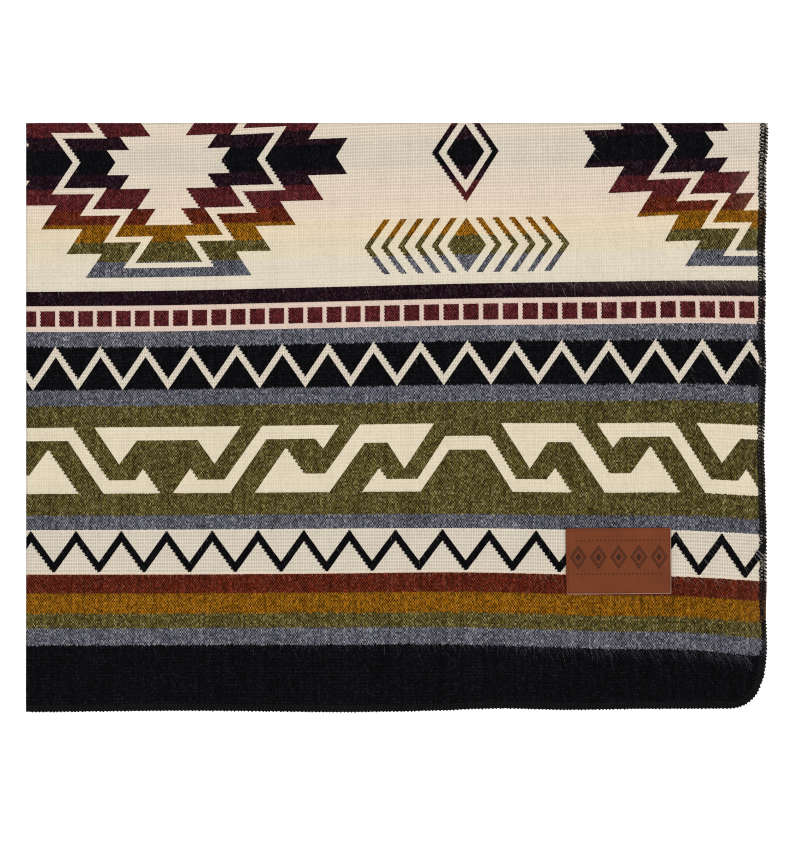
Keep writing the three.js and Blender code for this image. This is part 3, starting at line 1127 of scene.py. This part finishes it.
def surface_height(x, y):
    height = y - FRONT
    height = height - front_wave(x, height)
    across, along_cloth = cloth_coordinates(x, y - FRONT)
    return CLOTH_THICKNESS + edge_lift(x, height) + swell(x, y) + relief(across, along_cloth)


def hair_roots(seed, count):
    """Random places on the face, more of them just above the seams."""
    x = seed.uniform(LEFT + 2, SHEET_WIDTH / 2 - 8, count)
    height = seed.uniform(7, SHEET_DEPTH - 3, count)
    pick = seed.uniform(0, 1, count)
    low = 0.0
    at_seam = np.zeros(count, dtype=bool)
    for seam, share, gather in HAIR_SEAMS:
        chosen = (pick >= low) & (pick < low + share)
        low += share
        amount = int(chosen.sum())
        x[chosen] = LEFT + 2 + (SHEET_WIDTH - 10) * seed.uniform(0, 1, amount) ** (1 / gather)
        bend = np.interp(x[chosen] - LEFT, SEAM_PLACES, dict(SEAM_HEIGHTS)[seam])
        height[chosen] = bend + seed.exponential(1.3, amount)
        at_seam |= chosen
    return x, FRONT + height, at_seam


def make_nap(name, seed_number, material):
    seed = np.random.default_rng(seed_number)
    x, y, at_seam = hair_roots(seed, HAIR_COUNT)
    right_share = (x - LEFT) / SHEET_WIDTH
    angle = NAP_ANGLE - 0.35 * (1 - right_share) + 0.3 * right_share**8
    angle = angle + seed.normal(0, 0.27, HAIR_COUNT)
    length = seed.gamma(3.0, 0.75, HAIR_COUNT) + 0.6
    length = length * (0.9 + 1.4 * right_share**3) * np.where(at_seam, 1.6, 1.0)
    length = np.minimum(length, 12.0)
    curl = seed.normal(0, 0.2, HAIR_COUNT)
    steps = np.linspace(0, 1, HAIR_RINGS)
    headings = angle[:, None] + curl[:, None] * steps[None, :] ** 1.3
    stride = length[:, None] / (HAIR_RINGS - 1)
    px = x[:, None] + np.cumsum(np.cos(headings) * stride, axis=1)
    py = y[:, None] + np.cumsum(np.sin(headings) * stride, axis=1)
    rise = seed.uniform(0.12, 0.5, HAIR_COUNT)
    arch = np.sin(steps * np.pi * 0.8)[None, :] * rise[:, None]
    pz = surface_height(px, py) + arch + 0.02
    inset = inset_from_sewn_edge(px, py - FRONT)
    in_patch = np.abs(px - PATCH_X) < PATCH_WIDTH / 2 + 1
    in_patch &= np.abs(py - PATCH_Y) < PATCH_DEPTH / 2 + 1
    keep = (inset.min(axis=1) > 5.0) & ~in_patch.any(axis=1) & (px.min(axis=1) > LEFT + 0.6)
    keep &= py.max(axis=1) < SHEET_DEPTH / 2 - 0.6
    centres = np.stack([px, py, pz], axis=2)[keep]
    count = len(centres)
    ahead = unit(np.gradient(centres, axis=1))
    first = unit(np.cross(ahead, np.array([0.0, 0.0, 1.0])))
    taper = HAIR_RADIUS * np.interp(steps, [0, 0.25, 1], [0.9, 1.0, 0.35])
    thickness = seed.uniform(0.7, 1.5, count)
    radius = taper[None, :, None, None] * thickness[:, None, None, None]
    ring = ring_round(first, np.cross(ahead, first), HAIR_SIDES)
    points = (centres[:, :, None, :] + ring * radius).reshape(-1, 3)
    per_hair = HAIR_RINGS * HAIR_SIDES
    starts = np.arange(count)[:, None, None] * per_hair
    faces = []
    for shapes in tube_faces(HAIR_RINGS, HAIR_SIDES):
        faces += (shapes[None] + starts).reshape(-1, shapes.shape[1]).tolist()
    piece = mesh_object(name, points, faces, material)
    across, along_cloth = cloth_coordinates(x[keep], y[keep] - FRONT)
    add_cloth_map(piece.data, np.repeat(across, per_hair), np.repeat(along_cloth, per_hair))
    return piece


def nap_material(pattern):
    settings = {"Roughness": 0.9, "Specular IOR Level": 0.05}
    material, tree, shader = new_material("loose_fibres", settings)
    group = pattern_node(tree, pattern, 0.0)
    tree.links.new(group.outputs["Fibre"], shader.inputs["Base Color"])
    return material


# Stage

FLOOR_SIZE = 12000.0
FLOOR_DROP = 0.3
PHOTO_HEIGHT = 658.4
PHOTO_CENTRE_X = 2.2
PHOTO_CENTRE_Y = -11.05
LENS = 100.0
SENSOR = 36.0
WORLD_LIGHT = 0.41
# Wide, distant lamps: direction they come from, strength, and how wide they look in degrees
LAMPS = [("key", (1.0, -0.9, 1.45), 2.0, 38), ("fill", (-1.1, 1.0, 1.3), 1.33, 50)]


def make_stage():
    material = new_material("pale_floor", {
        "Base Color": (0.93, 0.93, 0.93, 1), "Roughness": 0.9, "Specular IOR Level": 0.1,
        "Emission Color": (1, 1, 1, 1), "Emission Strength": 0.5,
    })[0]
    half = FLOOR_SIZE / 2
    corners = [(-half, -half), (half, -half), (half, half), (-half, half)]
    points = [(x, y, -FLOOR_DROP) for x, y in corners]
    floor = mesh_object("floor", points, [[0, 1, 2, 3]], material, smooth_shaded=False)

    world = bpy.data.worlds.new("studio")
    bpy.context.scene.world = world
    world.use_nodes = True
    backdrop = world.node_tree.nodes["Background"]
    backdrop.inputs[0].default_value = (1, 1, 1, 1)
    backdrop.inputs[1].default_value = WORLD_LIGHT

    for name, direction, strength, width in LAMPS:
        light = bpy.data.lights.new(name, "SUN")
        light.energy = strength
        light.angle = math.radians(width)
        lamp = bpy.data.objects.new(name, light)
        lamp.location = direction
        lamp.rotation_euler = (-lamp.location).to_track_quat("-Z", "Y").to_euler()
        bpy.context.scene.collection.objects.link(lamp)


def make_camera():
    camera_data = bpy.data.cameras.new("camera")
    camera_data.lens = LENS
    camera_data.sensor_width = SENSOR
    camera = bpy.data.objects.new("camera", camera_data)
    distance = PHOTO_HEIGHT * LENS / SENSOR
    place = (PHOTO_CENTRE_X, PHOTO_CENTRE_Y, distance + CLOTH_THICKNESS)
    camera.location = [value * MM for value in place]
    scene = bpy.context.scene
    scene.collection.objects.link(camera)
    scene.camera = camera
    scene.view_settings.view_transform = "Standard"
    scene.view_settings.look = "None"
    scene.cycles.use_denoising = False
    scene.cycles.filter_width = 1.15


make_stage()
make_camera()
pattern = pattern_group()
wools = [wool_material(name, pattern, side) for side, name in enumerate(("wool_face", "wool_back"))]
sheet = make_sheet(*wools)
overlock = make_overlock(yarn_material("black_yarn", (0.0050, 0.0046, 0.0054), pattern))
loop_materials = [
    yarn_material("grey_thread", (0.24, 0.225, 0.24)),
    yarn_material("dark_core", (0.016, 0.014, 0.017)),
]
loop = make_loop(loop_materials)
patch = make_patch(leather_material())
fibres = nap_material(pattern)
naps = [make_nap("nap_a", 21, fibres), make_nap("nap_b", 22, fibres)]

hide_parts("blanket")
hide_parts("leather_patch")
for piece in (sheet, overlock, patch, *loop, *naps):
    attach(piece, "root")
